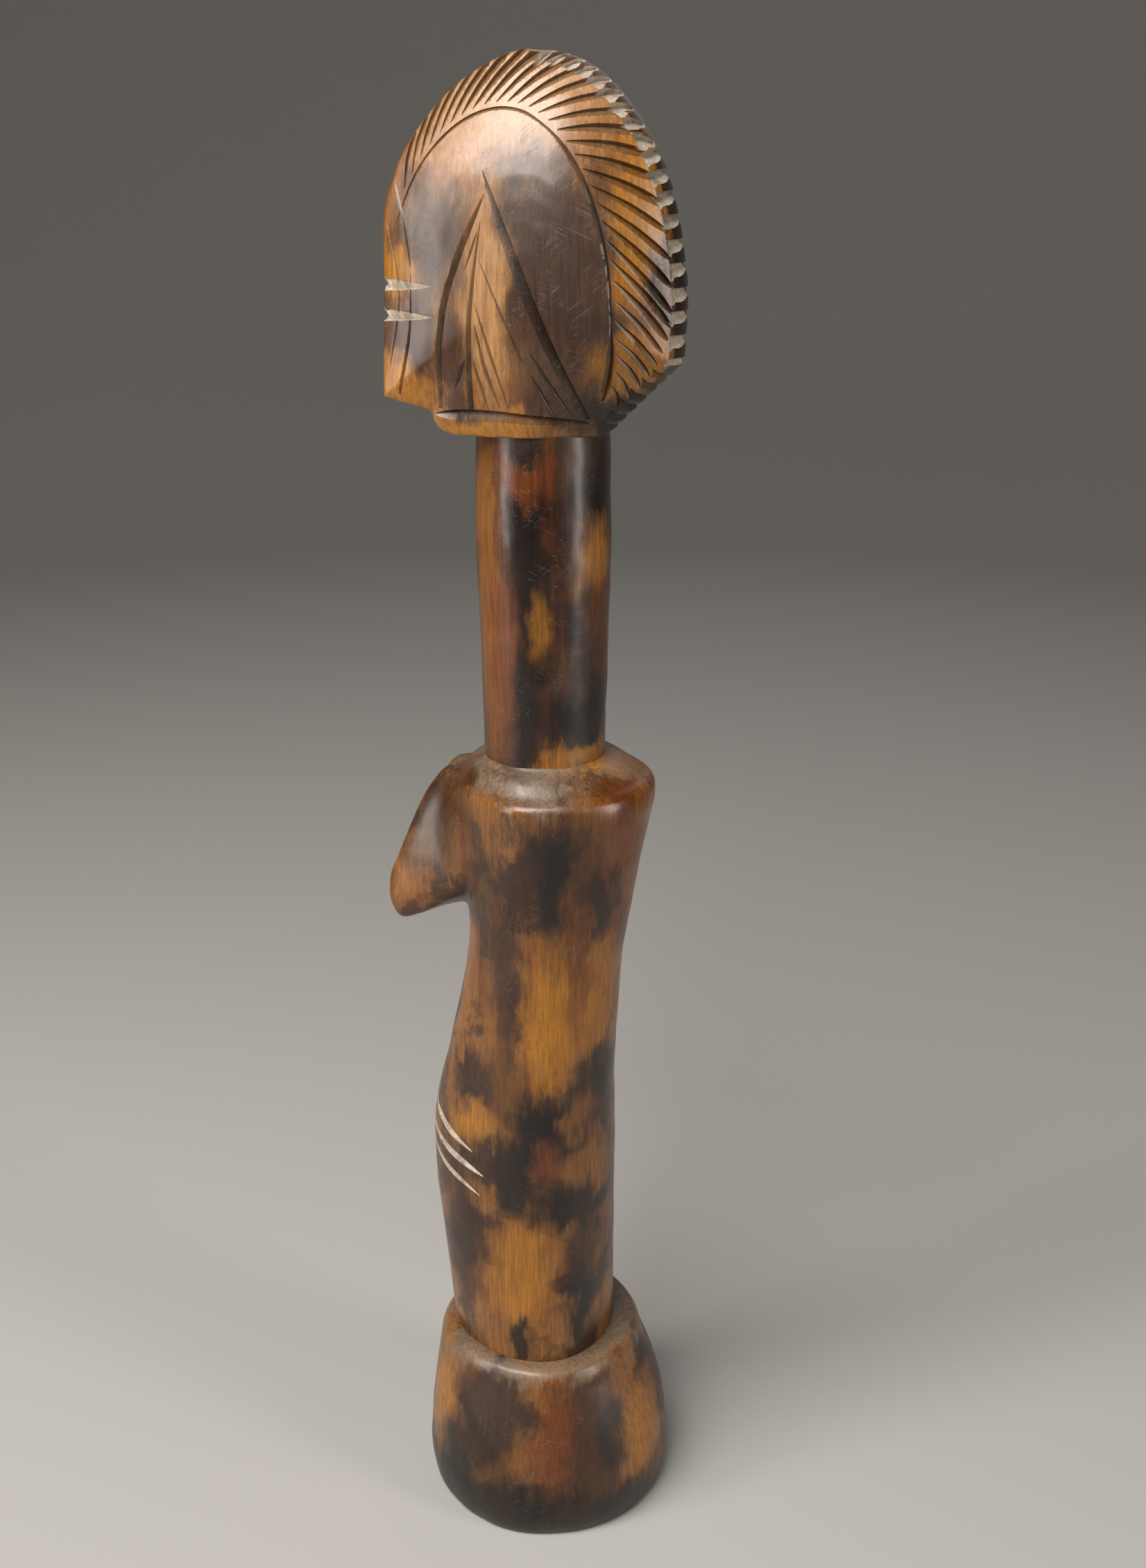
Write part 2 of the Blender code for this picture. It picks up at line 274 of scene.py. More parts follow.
def sweepUp(piece):
    # chips that the blades cut loose are thrown away, so that one closed body is left
    bm = bmesh.new()
    bm.from_mesh(piece.data)
    left = set(bm.verts)
    islands = []
    while left:
        island = {left.pop()}
        front = list(island)
        while front:
            near = {edge.other_vert(vert) for vert in front for edge in vert.link_edges} - island
            island |= near
            front = list(near)
        left -= island
        islands.append(island)
    crumbs = sorted(islands, key=len)[:-1]
    bmesh.ops.delete(bm, geom=[vert for crumb in crumbs for vert in crumb], context="VERTS")
    openEdges = sum(not edge.is_manifold for edge in bm.edges)
    print(piece.name, "loose crumbs dropped:", len(crumbs), "open edges:", openEdges)
    bm.to_mesh(piece.data)
    bm.free()


def shadeCarved(piece, angle):
    sweepUp(piece)
    piece.data.shade_smooth()
    piece.data.set_sharp_from_angle(angle=math.radians(angle))


# wood

def addNode(tree, kind, inputs=None, **settings):
    node = tree.nodes.new(kind)
    for name, value in settings.items():
        setattr(node, name, value)
    for socket, value in (inputs or {}).items():
        if isinstance(value, bpy.types.NodeSocket):
            tree.links.new(value, node.inputs[socket])
        else:
            node.inputs[socket].default_value = value
    return node


def mixed(tree, factor, first, second, blend="MIX"):
    node = addNode(tree, "ShaderNodeMix", data_type="RGBA", blend_type=blend, clamp_factor=True)
    for socket, value in ((0, factor), (6, first), (7, second)):
        if isinstance(value, bpy.types.NodeSocket):
            tree.links.new(value, node.inputs[socket])
        else:
            node.inputs[socket].default_value = value
    return node.outputs[2]


woodColours = {
    "honey": "#74481C",
    "pale": "#8E6740",
    "amber": "#8A5814",
    "orange": "#592B0C",
    "umber": "#210F07",
    "smoke": "#362720",
    # a grey sheen, painted on upward-facing tops as a painted highlight
    "greySheen": "#6E5D4B",
    "char": "#070302",
    "bare": "#A89C8C",
}


def waxedWood(name, ground, stainsAndPaintedLight, roughness=0.36, pale=0.35, scorch=0.75, shade=1.0):
    # a hard pale wood, rubbed with oil and scorched with a hot iron, so honey wood shows between soft
    # brown and black patches, under a thin wax that gives broad soft highlights
    wood = bpy.data.materials.new(name)
    wood.use_nodes = True
    tree = wood.node_tree
    shader = tree.nodes["Principled BSDF"]
    place = addNode(tree, "ShaderNodeTexCoord").outputs["Object"]
    # fibres run up the billet, so everything ragged is drawn out along it
    fibreRun = addNode(tree, "ShaderNodeMapping", {"Vector": place, "Scale": (1, 1, 0.06)})
    raggedRun = addNode(tree, "ShaderNodeMapping", {"Vector": place, "Scale": (1, 1, 0.35)})
    drift = addNode(tree, "ShaderNodeTexNoise", {"Vector": place, "Scale": 1 / (9 * mm), "Detail": 2.0})
    ragged = addNode(tree, "ShaderNodeTexNoise",
                     {"Vector": raggedRun.outputs[0], "Scale": 1 / (1.9 * mm), "Detail": 5.0,
                      "Roughness": 0.65})
    shifts = place
    for source, size in ((drift, 7.0), (ragged, 5.0)):
        centred = addNode(tree, "ShaderNodeVectorMath", {0: source.outputs["Color"], 1: (0.5, 0.5, 0.5)},
                          operation="SUBTRACT")
        reach = (size * mm, size * mm, 2 * size * mm)
        sized = addNode(tree, "ShaderNodeVectorMath", {0: centred.outputs[0], 1: reach}, operation="MULTIPLY")
        shifts = addNode(tree, "ShaderNodeVectorMath", {0: shifts, 1: sized.outputs[0]},
                         operation="ADD").outputs[0]
    fibres = addNode(tree, "ShaderNodeTexNoise",
                     {"Vector": fibreRun.outputs[0], "Scale": 1 / (0.5 * mm), "Detail": 4.0,
                      "Roughness": 0.65})
    bands = addNode(tree, "ShaderNodeTexNoise",
                    {"Vector": fibreRun.outputs[0], "Scale": 1 / (3.2 * mm), "Detail": 3.0,
                     "Distortion": 0.4})
    patches = addNode(tree, "ShaderNodeTexNoise", {"Vector": place, "Scale": 1 / (14 * mm), "Detail": 4.0})
    haze = addNode(tree, "ShaderNodeTexNoise",
                   {"Vector": shifts, "Scale": 1 / (11 * mm), "Detail": 6.0, "Roughness": 0.62})
    colour = linear(woodColours[ground])
    # paler wood, redder growth bands, and a haze of scorching that gathers in patches
    for source, low, high, most, tint in (
        (patches, 0.42, 0.66, pale, "pale"),
        (bands, 0.48, 0.70, 0.60, "orange"),
        (haze, 0.45, 0.62, scorch, "umber"),
    ):
        cover = addNode(tree, "ShaderNodeMapRange",
                        {"Value": source.outputs[0], "From Min": low, "From Max": high, "To Max": most},
                        interpolation_type="SMOOTHSTEP")
        colour = mixed(tree, cover.outputs[0], colour, linear(woodColours[tint]))
    # the listed spots: most are stains, some are painted highlight, painted sheen or painted shade
    for tint, (x, y, z), (wide, deep, tall), soft, strength in stainsAndPaintedLight:
        size = [1 / (s * mm) for s in (wide, deep, tall)]
        centre = [-c * mm * s for c, s in zip((x, y, z), size)]
        spot = addNode(tree, "ShaderNodeMapping", {"Vector": shifts, "Location": centre, "Scale": size})
        away = addNode(tree, "ShaderNodeVectorMath", {0: spot.outputs[0]}, operation="LENGTH")
        cover = addNode(tree, "ShaderNodeMapRange",
                        {"Value": away.outputs["Value"], "From Min": 1 + soft, "From Max": 1 - soft,
                         "To Max": strength},
                        interpolation_type="SMOOTHSTEP")
        colour = mixed(tree, cover.outputs[0], colour, linear(woodColours[tint]))
    # fine fibres lighten and darken everything a little, and a shade below 1 darkens all of it, as painted
    # shade for the faces inside cuts
    fibreShade = addNode(tree, "ShaderNodeMapRange",
                         {"Value": fibres.outputs[0], "From Min": 0.3, "From Max": 0.7,
                          "To Min": 0.62 * shade, "To Max": 1.30 * shade})
    colour = mixed(tree, 1.0, colour, fibreShade.outputs[0], "MULTIPLY")
    # hairline scratches through the wax, in two directions
    scratches = None
    for lean, run in ((62, 9.0), (-48, 7.0)):
        turned = addNode(tree, "ShaderNodeMapping",
                         {"Vector": place, "Rotation": (math.radians(lean), math.radians(lean / 2), 0),
                          "Scale": (1, 1, 25)}, vector_type="TEXTURE")
        lines = addNode(tree, "ShaderNodeTexNoise",
                        {"Vector": turned.outputs[0], "Scale": 1 / (0.3 * mm), "Detail": 1.0,
                         "Distortion": 0.3})
        where = addNode(tree, "ShaderNodeTexNoise", {"Vector": place, "Scale": 1 / (run * mm), "Detail": 1.0})
        thin = addNode(tree, "ShaderNodeMapRange",
                       {"Value": lines.outputs[0], "From Min": 0.62, "From Max": 0.70})
        some = addNode(tree, "ShaderNodeMapRange",
                       {"Value": where.outputs[0], "From Min": 0.48, "From Max": 0.62})
        both = addNode(tree, "ShaderNodeMath", {0: thin.outputs[0], 1: some.outputs[0]}, operation="MULTIPLY")
        if scratches is None:
            scratches = both.outputs[0]
        else:
            scratches = addNode(tree, "ShaderNodeMath", {0: scratches, 1: both.outputs[0]},
                                operation="MAXIMUM").outputs[0]
    marks = addNode(tree, "ShaderNodeMath", {0: scratches, 1: 0.06}, operation="MULTIPLY")
    colour = mixed(tree, marks.outputs[0], colour, linear("#A8937C"))
    tree.links.new(colour, shader.inputs["Base Color"])
    gloss = addNode(tree, "ShaderNodeMapRange",
                    {"Value": patches.outputs[0], "From Min": 0.35, "From Max": 0.65,
                     "To Min": roughness - 0.05, "To Max": roughness + 0.09})
    dulled = addNode(tree, "ShaderNodeMath", {0: scratches, 1: 0.2, 2: gloss.outputs[0]},
                     operation="MULTIPLY_ADD")
    tree.links.new(dulled.outputs[0], shader.inputs["Roughness"])
    relief = addNode(tree, "ShaderNodeMath", {0: scratches, 1: -1.6, 2: fibres.outputs[0]},
                     operation="MULTIPLY_ADD")
    grainBump = addNode(tree, "ShaderNodeBump",
                        {"Height": relief.outputs[0], "Strength": 0.22, "Distance": 0.12 * mm})
    dents = addNode(tree, "ShaderNodeTexNoise", {"Vector": place, "Scale": 1 / (2.2 * mm), "Detail": 2.0})
    toolBump = addNode(tree, "ShaderNodeBump",
                       {"Height": dents.outputs[0], "Strength": 0.35, "Distance": 0.10 * mm,
                        "Normal": grainBump.outputs[0]})
    tree.links.new(toolBump.outputs[0], shader.inputs["Normal"])
    shader.inputs["IOR"].default_value = 1.4
    shader.inputs["Coat Weight"].default_value = 0.35
    shader.inputs["Coat Roughness"].default_value = 0.24
    return wood


# base: the stump that the figure stands on

baseLook = {
    "soleRadius": 22.6, "flareRadius": 24.5, "flareHeight": 8, "swell": (0.4, 1.4, 0.4),
    "ledge": (2.9, 5.7, 4.2),  # in front, behind and at the sides
    "rimInset": 2.6, "rimDrop": 4.0, "footRadius": 15.9, "footForward": 2.9,
    "voxel": 0.5, "waves": ((16, 0.35), (6, 0.14), (2.6, 0.04)),
    "stainsAndPaintedLight": [
        ("umber", (20, -6, 25), (9, 8, 14), 0.5, 0.9),
        ("smoke", (21, -4, 28), (8, 6, 7), 0.6, 0.6),
        ("umber", (18, 13, 24), (9, 6, 16), 0.5, 0.85),
        ("orange", (20, 7, 20), (6, 4, 12), 0.5, 0.9),
        ("amber", (14, -18.5, 22), (5, 4, 12), 0.5, 0.9),
        ("amber", (8, 22, 17), (6, 4, 12), 0.5, 0.9),
        ("char", (16, 0, 3), (30, 40, 9), 0.45, 0.93),
        ("char", (18, -15, 8), (8, 6, 9), 0.5, 0.9),
        ("char", (14, 17, 20), (4, 3, 8), 0.5, 0.8),
        ("umber", (-10, 16, 20), (12, 12, 18), 0.5, 0.8),
        ("char", (-20, -6, 12), (10, 12, 14), 0.5, 0.8),
        ("umber", (0, -22, 16), (8, 8, 14), 0.5, 0.7),
        # painted sheen: the top ledge of the base painted greyer and paler, where light glances off it
        ("greySheen", (0, 0, 36.5), (26, 26, 3.6), 0.4, 0.7),
    ],
}


def footReach(look):
    radius, forward = look["footRadius"], look["footForward"]
    return radius + forward, radius - forward, radius


def makeBase(look):
    bottom, top = baseBox[0].z / mm, baseBox[1].z / mm
    rim = [reach + ledge for reach, ledge in zip(footReach(look), look["ledge"])]
    rimLevel = top - look["rimDrop"]
    flare = look["flareRadius"]
    middle = [(flare + reach) / 2 + swollen for reach, swollen in zip(rim, look["swell"])]
    rows = [
        (bottom + look["flareHeight"], flare, flare, flare),
        ((bottom + look["flareHeight"] + rimLevel) / 2, *middle),
        (rimLevel, *rim),
    ]
    rings = [oval(bottom, *[look["soleRadius"]] * 3)]
    for turn in range(15, 90, 15):
        angle = math.radians(turn)
        radius = look["soleRadius"] + (flare - look["soleRadius"]) * math.sin(angle)
        rings.append(oval(bottom + look["flareHeight"] * (1 - math.cos(angle)), radius, radius, radius))
    rings += [oval(*row) for row in smoothRow(rows, 8)]
    for turn in range(15, 91, 15):
        angle = math.radians(turn)
        inset = look["rimInset"] * (1 - math.cos(angle))
        level = rimLevel + look["rimDrop"] * math.sin(angle)
        rings.append(oval(level, *[reach - inset for reach in rim]))
    bm = bmesh.new()
    drawUp(bm, rings)
    wood = waxedWood("scorched base wood", "honey", look["stainsAndPaintedLight"], 0.42, 0.2, 0.9)
    piece = finishObject("carved_base", bm, wood)
    evenSkin(piece, look["voxel"], 6)
    knifeWork(piece, look["waves"], 3)
    sole = bottom * mm
    for vert in piece.data.vertices:
        vert.co.z = max(vert.co.z, sole)
    shadeCarved(piece, 50)
    return piece


# torso with its two breasts, carved as one swelling form

torsoLook = {
    "belly": (22.4, 12.9, 16.4), "waist": (14.3, 14.8, 14.6), "shoulder": (17.6, 19.9, 18.6),
    "bellyRise": 40.5, "waistRise": 85.5, "shoulderRise": 112.9,
    "rounding": 2.2, "slope": 2.9, "fullness": 1.5, "sunk": 1.0, "seat": 12.6,
    "cove": ((0.8, 0.1), (1.3, 0.35), (1.7, 0.8), (2.1, 1.4)),
    "voxel": 0.47, "waves": ((18, 0.30), (7, 0.12), (3, 0.035)),
    "stainsAndPaintedLight": [
        ("umber", (15, 5, 82), (9, 9, 15), 0.5, 0.85),
        ("umber", (8, 14, 90), (9, 6, 10), 0.5, 0.8),
        ("umber", (13, 6, 141), (9, 8, 16), 0.6, 0.8),
        ("umber", (13, -8, 130), (6, 5, 16), 0.6, 0.7),
        ("umber", (14.4, -3, 116), (6, 3.4, 20), 0.6, 0.85),
        ("char", (15, 6, 138), (8, 3.0, 12), 0.5, 0.95),
        ("orange", (6, 16, 140), (8, 4, 16), 0.5, 0.7),
        ("char", (10, 13, 134), (6, 2.2, 8), 0.6, 0.8),
        ("amber", (13, 5, 109), (8, 4.5, 14), 0.6, 0.9),
        ("amber", (7, 12, 111), (8, 4, 12), 0.6, 0.8),
        ("orange", (10, 9, 118), (5, 2, 14), 0.6, 0.6),
        ("char", (2, 13, 96), (7, 4, 6), 0.5, 0.9),
        ("umber", (13, -10, 94), (7, 6, 6), 0.5, 0.9),
        ("char", (15, 4, 89), (8, 7, 8), 0.45, 0.97),
        ("char", (16, -2, 77), (8, 4.5, 8), 0.45, 0.95),
        ("umber", (15, -8, 78), (7, 5, 4), 0.5, 0.9),
        ("orange", (15.5, 4, 81), (4, 3, 5.5), 0.6, 0.85),
        ("honey", (11, 10, 78), (7, 4.5, 4), 0.6, 0.85),
        ("honey", (12, 9, 88), (5, 2.5, 4), 0.6, 0.7),
        ("char", (8, 8, 69), (14, 10, 3.4), 0.5, 0.93),
        ("amber", (14, -11, 86), (5, 5, 4.5), 0.6, 0.85),
        ("umber", (12, -13, 60), (8, 5, 16), 0.5, 0.9),
        ("umber", (11, 10, 55), (7, 3.0, 16), 0.5, 0.8),
        ("amber", (16, -1, 55), (8, 6, 12), 0.5, 0.85),
        ("char", (16, -1, 38), (6, 1.6, 6), 0.6, 0.9),
        ("char", (11, 9.5, 46), (6, 1.8, 9), 0.6, 0.9),
        ("umber", (-10, 5, 60), (12, 12, 26), 0.5, 0.75),
        ("char", (-14, -4, 92), (9, 8, 14), 0.5, 0.9),
        ("char", (-12, 8, 136), (9, 5, 12), 0.5, 0.9),
        ("umber", (-8, -12, 66), (9, 8, 12), 0.5, 0.7),
        ("smoke", (4, -4, 156), (40, 18, 4.0), 0.4, 0.6),
        # painted sheen: the top of the shoulders painted greyer and paler, where the overhead light glances
        # off it
        ("greySheen", (4, 0, 156.5), (40, 18, 4.0), 0.5, 0.75),
        # painted shade: darker in the cove where the neck rises from the front of the shoulders
        ("umber", (9, -5, 158), (6, 7, 2.4), 0.6, 0.6),
        ("amber", (5, 11, 156.5), (9, 5, 3), 0.6, 0.85),
        ("umber", (8, -17, 147), (12, 6, 10), 0.6, 0.75),
        ("smoke", (8, -20, 138), (12, 5, 9), 0.6, 0.6),
        ("honey", (7, -24, 130), (10, 4, 5), 0.7, 0.7),
        ("smoke", (-8, -17, 142), (12, 7, 9), 0.6, 0.7),
    ],
}

breastLook = {
    "plane": 11.6, "reach": 17.0, "depth": 28.5, "drop": 0.5, "keel": 3.4, "width": 11.8, "topWidth": 9.8,
    "cleavage": 0.5, "rounding": 0.2, "rooted": 3.0,
    # reach, cleavage, ridge, width: shares of the sizes above; then the levels of the top, of the side's
    # lower edge and of the keel, as shares of the depth
    "sections": (
        (0.00, 0.5, 1.00, 1.00, 0.070, 0.720, 1.000),
        (0.20, 0.5, 0.74, 0.93, 0.070, 0.830, 1.018),
        (0.38, 1.0, 0.54, 0.87, 0.085, 0.930, 1.042),
        (0.62, 2.0, 0.56, 0.80, 0.285, 1.040, 1.090),
        (0.85, 4.0, 0.60, 0.70, 0.620, 1.095, 1.130),
        (0.96, 5.0, 0.56, 0.62, 0.770, 1.020, 1.050),
        (1.00, 6.0, 0.52, 0.54, 0.830, 0.930, 0.970),
    ),
}


def roundCorners(corners, share, times=3):
    for _ in range(times):
        cut = []
        for i, corner in enumerate(corners):
            after = corners[(i + 1) % len(corners)]
            cut += [[a + part * (b - a) for a, b in zip(corner, after)] for part in (share, 1 - share)]
        corners = cut
    return corners


def breastRings(look, hand):
    top = breastBox[1].z / mm
    rings = []
    rows = smoothRow(look["sections"], 5)
    for i, (share, gap, ridge, wide, high, side, low) in enumerate([rows[0]] + rows):
        inner, outer = gap * look["cleavage"], wide * look["width"]
        high, side, low = [top - drop * look["depth"] for drop in (high, side, low)]
        keel = inner + (outer - inner) * look["keel"] / look["width"]
        corners = [(inner, high), (ridge * look["topWidth"], high), (outer, side), (keel, low), (inner, low)]
        y = -look["plane"] - share * look["reach"] + (look["rooted"] if i == 0 else 0)
        rings.append([Vector((hand * x, y, z)) * mm for x, z in roundCorners(corners, look["rounding"])])
    return rings


def torsoRings(look, foot):
    bottom = torsoBox[0].z / mm
    belly, waist, shoulder = look["belly"], look["waist"], look["shoulder"]
    between = ((belly[0] + waist[0]) / 2, belly[1], (belly[2] + waist[2]) / 2)
    rows = [
        (bottom - look["sunk"], *foot, 2.0),
        (bottom + look["bellyRise"], *belly, 2.0),
        (bottom + (look["bellyRise"] + look["waistRise"]) / 2, *between, 2.0),
        (bottom + look["waistRise"], *waist, 2.0),
        (bottom + look["shoulderRise"], *shoulder, look["fullness"]),
    ]
    rings = [oval(*row) for row in smoothRow(rows, 24)]
    level = torsoBox[1].z / mm - look["slope"] - look["rounding"]
    for turn in range(12, 85, 12):
        angle = math.radians(turn)
        inset = look["rounding"] * (1 - math.cos(angle))
        reaches = [reach - inset for reach in shoulder]
        rings.append(oval(level + look["rounding"] * math.sin(angle), *reaches, look["fullness"]))
    rim = [reach - look["rounding"] for reach in shoulder]
    for part in (0.3, 0.6, 0.85, 1.0):  # the shoulder top rises in a low dome
        reaches = [reach + (look["seat"] - reach) * part for reach in rim]
        rise = level + look["rounding"] + look["slope"] * math.sin(math.pi / 2 * part)
        rings.append(oval(rise, *reaches, look["fullness"] + (2 - look["fullness"]) * part))
    for inset, up in look["cove"]:  # and runs up into the neck in a small cove
        rings.append(oval(torsoBox[1].z / mm + up, *[look["seat"] - inset] * 3))
    return rings


bellyCuts = {
    # each cut: its upper level, how far it falls, its degrees round from the front, width and widest place
    "scars": [(86, 6, 4, 53, 1.6, 0.5), (81, 5.5, 6, 61, 1.6, 0.6), (77, 6, 8, 58, 1.35, 0.5)],
    "nicks": [(108, 7, 42, 56, 0.5, 0.5), (106, 3, 49, 55, 0.35, 0.5)],
}


def aroundTorso(tree, level, angle, hand):
    out = Vector((hand * math.sin(math.radians(angle)), -math.cos(math.radians(angle)), 0))
    start = Vector((0, 0, level * mm)) + out * clear * mm
    place, normal, _, _ = tree.ray_cast(start, -out)
    return place, normal


def torsoBlades(tree, rows):
    bm = bmesh.new()
    for level, fall, first, last, width, peak in rows:
        points = [(level - fall * k / 18, first + (last - first) * k / 18) for k in range(19)]
        for hand in (1, -1):
            spots = [aroundTorso(tree, *point, hand) for point in points]
            cutBlade(bm, spots, width, peak, 0.12, 0.45)
    return [bm]


def makeTorso(look, breasts, foot):
    bm = bmesh.new()
    drawUp(bm, torsoRings(look, foot))
    for hand in (1, -1):
        drawUp(bm, breastRings(breasts, hand))
    wood = waxedWood("scorched body wood", "honey", look["stainsAndPaintedLight"], 0.34, 0.3, 0.85)
    scarWood = waxedWood("bare scar wood", "bare", [], 0.36, 0.0, 0.25)
    # the faces inside the cuts: the same wood darkened to 0.6, painted shade in the cuts
    cutWood = waxedWood("cut body wood in painted shade", "honey", look["stainsAndPaintedLight"], 0.42, 0.3, 0.85, 0.6)
    piece = finishObject("carved_torso", bm, wood, cutWood, scarWood)
    evenSkin(piece, look["voxel"], 7)
    knifeWork(piece, look["waves"], 7)
    tree = treeOf(piece)
    carve(piece, torsoBlades(tree, bellyCuts["scars"]), scarWood)
    carve(piece, torsoBlades(tree, bellyCuts["nicks"]), cutWood)
    shadeCarved(piece, 40)
    return piece


# neck: a plain round shaft, sunk a little into its neighbours

neckLook = {
    "foot": 10.7, "middle": 11.6, "top": 11.3, "middleShare": 0.7, "sunk": 1.4,
    "voxel": 0.42, "waves": ((14, 0.22), (5, 0.10), (2.4, 0.03)),
    "stainsAndPaintedLight": [
        ("char", (11, 1, 186), (5, 3.2, 34), 0.45, 0.9),
        ("honey", (9, -8, 192), (6, 3.6, 34), 0.5, 0.8),
        ("orange", (10, -5, 176), (5, 3, 16), 0.6, 0.7),
        ("amber", (11, 2, 181), (3, 1.6, 5.5), 0.8, 0.5),
        ("orange", (11, 0, 207), (4, 4, 3), 0.6, 0.8),
        ("char", (6, 9.5, 204), (5, 3.4, 6), 0.5, 0.85),
        ("amber", (5, 10.5, 192), (5, 4, 6), 0.6, 0.85),
        ("char", (7, 9, 180), (3, 1.8, 9), 0.6, 0.9),
        ("orange", (2, 11, 181), (5, 4, 8), 0.6, 0.6),
        ("char", (5, 9, 165), (6, 5, 7), 0.5, 0.85),
        ("amber", (7, 8, 157), (7, 7, 3), 0.6, 0.9),
        ("char", (-10, 2, 190), (5, 5, 26), 0.5, 0.8),
        ("honey", (-8, -8, 180), (5, 4, 28), 0.5, 0.8),
        ("honey", (-6, 9, 186), (5, 4, 22), 0.5, 0.7),
    ],
}


def makeNeck(look):
    bottom, top = neckBox[0].z / mm, neckBox[1].z / mm
    tall = top - bottom
    body = [
        (bottom - look["sunk"], look["foot"]),
        (bottom + tall * look["middleShare"] / 2, (look["foot"] + look["middle"]) / 2),
        (bottom + tall * look["middleShare"], look["middle"]),
        (top + look["sunk"], look["top"]),
    ]
    bm = bmesh.new()
    drawUp(bm, [oval(level, radius, radius, radius) for level, radius in smoothRow(body, 12)])
    wood = waxedWood("scorched neck wood", "umber", look["stainsAndPaintedLight"], 0.34, 0.1, 0.4)
    piece = finishObject("carved_neck", bm, wood)
    evenSkin(piece, look["voxel"], 4)
    knifeWork(piece, look["waves"], 11)
    shadeCarved(piece, 50)
    return piece


# head: a flat helmet with a toothed crest and incised cheeks

headLook = {
    "chinHeight": 6.0, "browHeight": 31.5, "crownBack": 0.5, "backHeight": 19.0,
    "heelHeight": 11.6, "heelInset": 0.4, "foreheadFullness": 1.8,
    "neckRadius": 11.3, "jawLength": 4.0, "jawHeight": 3.8,
    "chinWidth": 22.5, "browWidth": 18.0, "crestWidth": 9.4, "napeWidth": 14.0, "halfWidth": 15.0,
    "hub": (1.0, 23.5), "domePower": 2.2, "step": 1.2, "crown": 1.1,
    "voxel": 0.34, "waves": ((15, 0.25), (6, 0.10), (2.5, 0.03)),
    "stainsAndPaintedLight": [
        # painted highlight: the top of the head painted paler where the top softbox's glare falls
        ("pale", (8, -2, 265), (30, 15, 10), 0.6, 0.85),
        ("smoke", (10, 17, 240), (30, 5, 10), 0.6, 0.55),
        ("umber", (14, -15, 244), (30, 6.5, 8.5), 0.5, 0.9),
        ("smoke", (13, -13, 246), (30, 6, 8), 0.5, 0.4),
        ("umber", (14, 4, 244), (30, 7.5, 13), 0.45, 0.75),
        ("smoke", (14, 5, 240), (30, 8.5, 17), 0.5, 0.85),
        ("smoke", (12, 14, 233), (30, 6, 15), 0.6, 0.85),
        ("umber", (12, 11, 224), (30, 6, 10), 0.6, 0.7),
        ("umber", (12, -17, 229), (30, 3.6, 9), 0.5, 0.9),
        ("umber", (12, -23, 229), (30, 2.5, 6), 0.5, 0.8),
        ("umber", (13, -10.5, 225), (30, 2.6, 10), 0.5, 0.8),
        ("amber", (12, -20, 221), (30, 5, 4), 0.5, 0.9),
        ("amber", (11, -21, 238), (30, 4, 4), 0.5, 0.8),
        ("pale", (14, -5, 236), (30, 3.4, 12), 0.5, 0.85),
        ("smoke", (12, 3, 221), (30, 4, 9), 0.6, 0.7),
        ("amber", (7, 18, 248), (30, 3.4, 14), 0.5, 0.9),
        ("umber", (6, 22.5, 240), (30, 1.5, 18), 0.5, 0.85),
        ("amber", (8, 18, 225), (30, 6, 5), 0.6, 0.8),
        ("char", (8, 17, 215), (30, 9, 5.5), 0.6, 0.92),
        ("umber", (13, 6, 217), (30, 7, 3), 0.6, 0.6),
        ("amber", (8, -6, 214), (30, 10, 2.5), 0.5, 0.9),
        # the worn top of the crest; the cuts leave these two out
        ("char", (0, 25, 234), (5.3, 9, 34), 0.10, 0.92),
        ("umber", (0, 13, 268), (5.2, 13, 10), 0.15, 0.85),
    ],
}

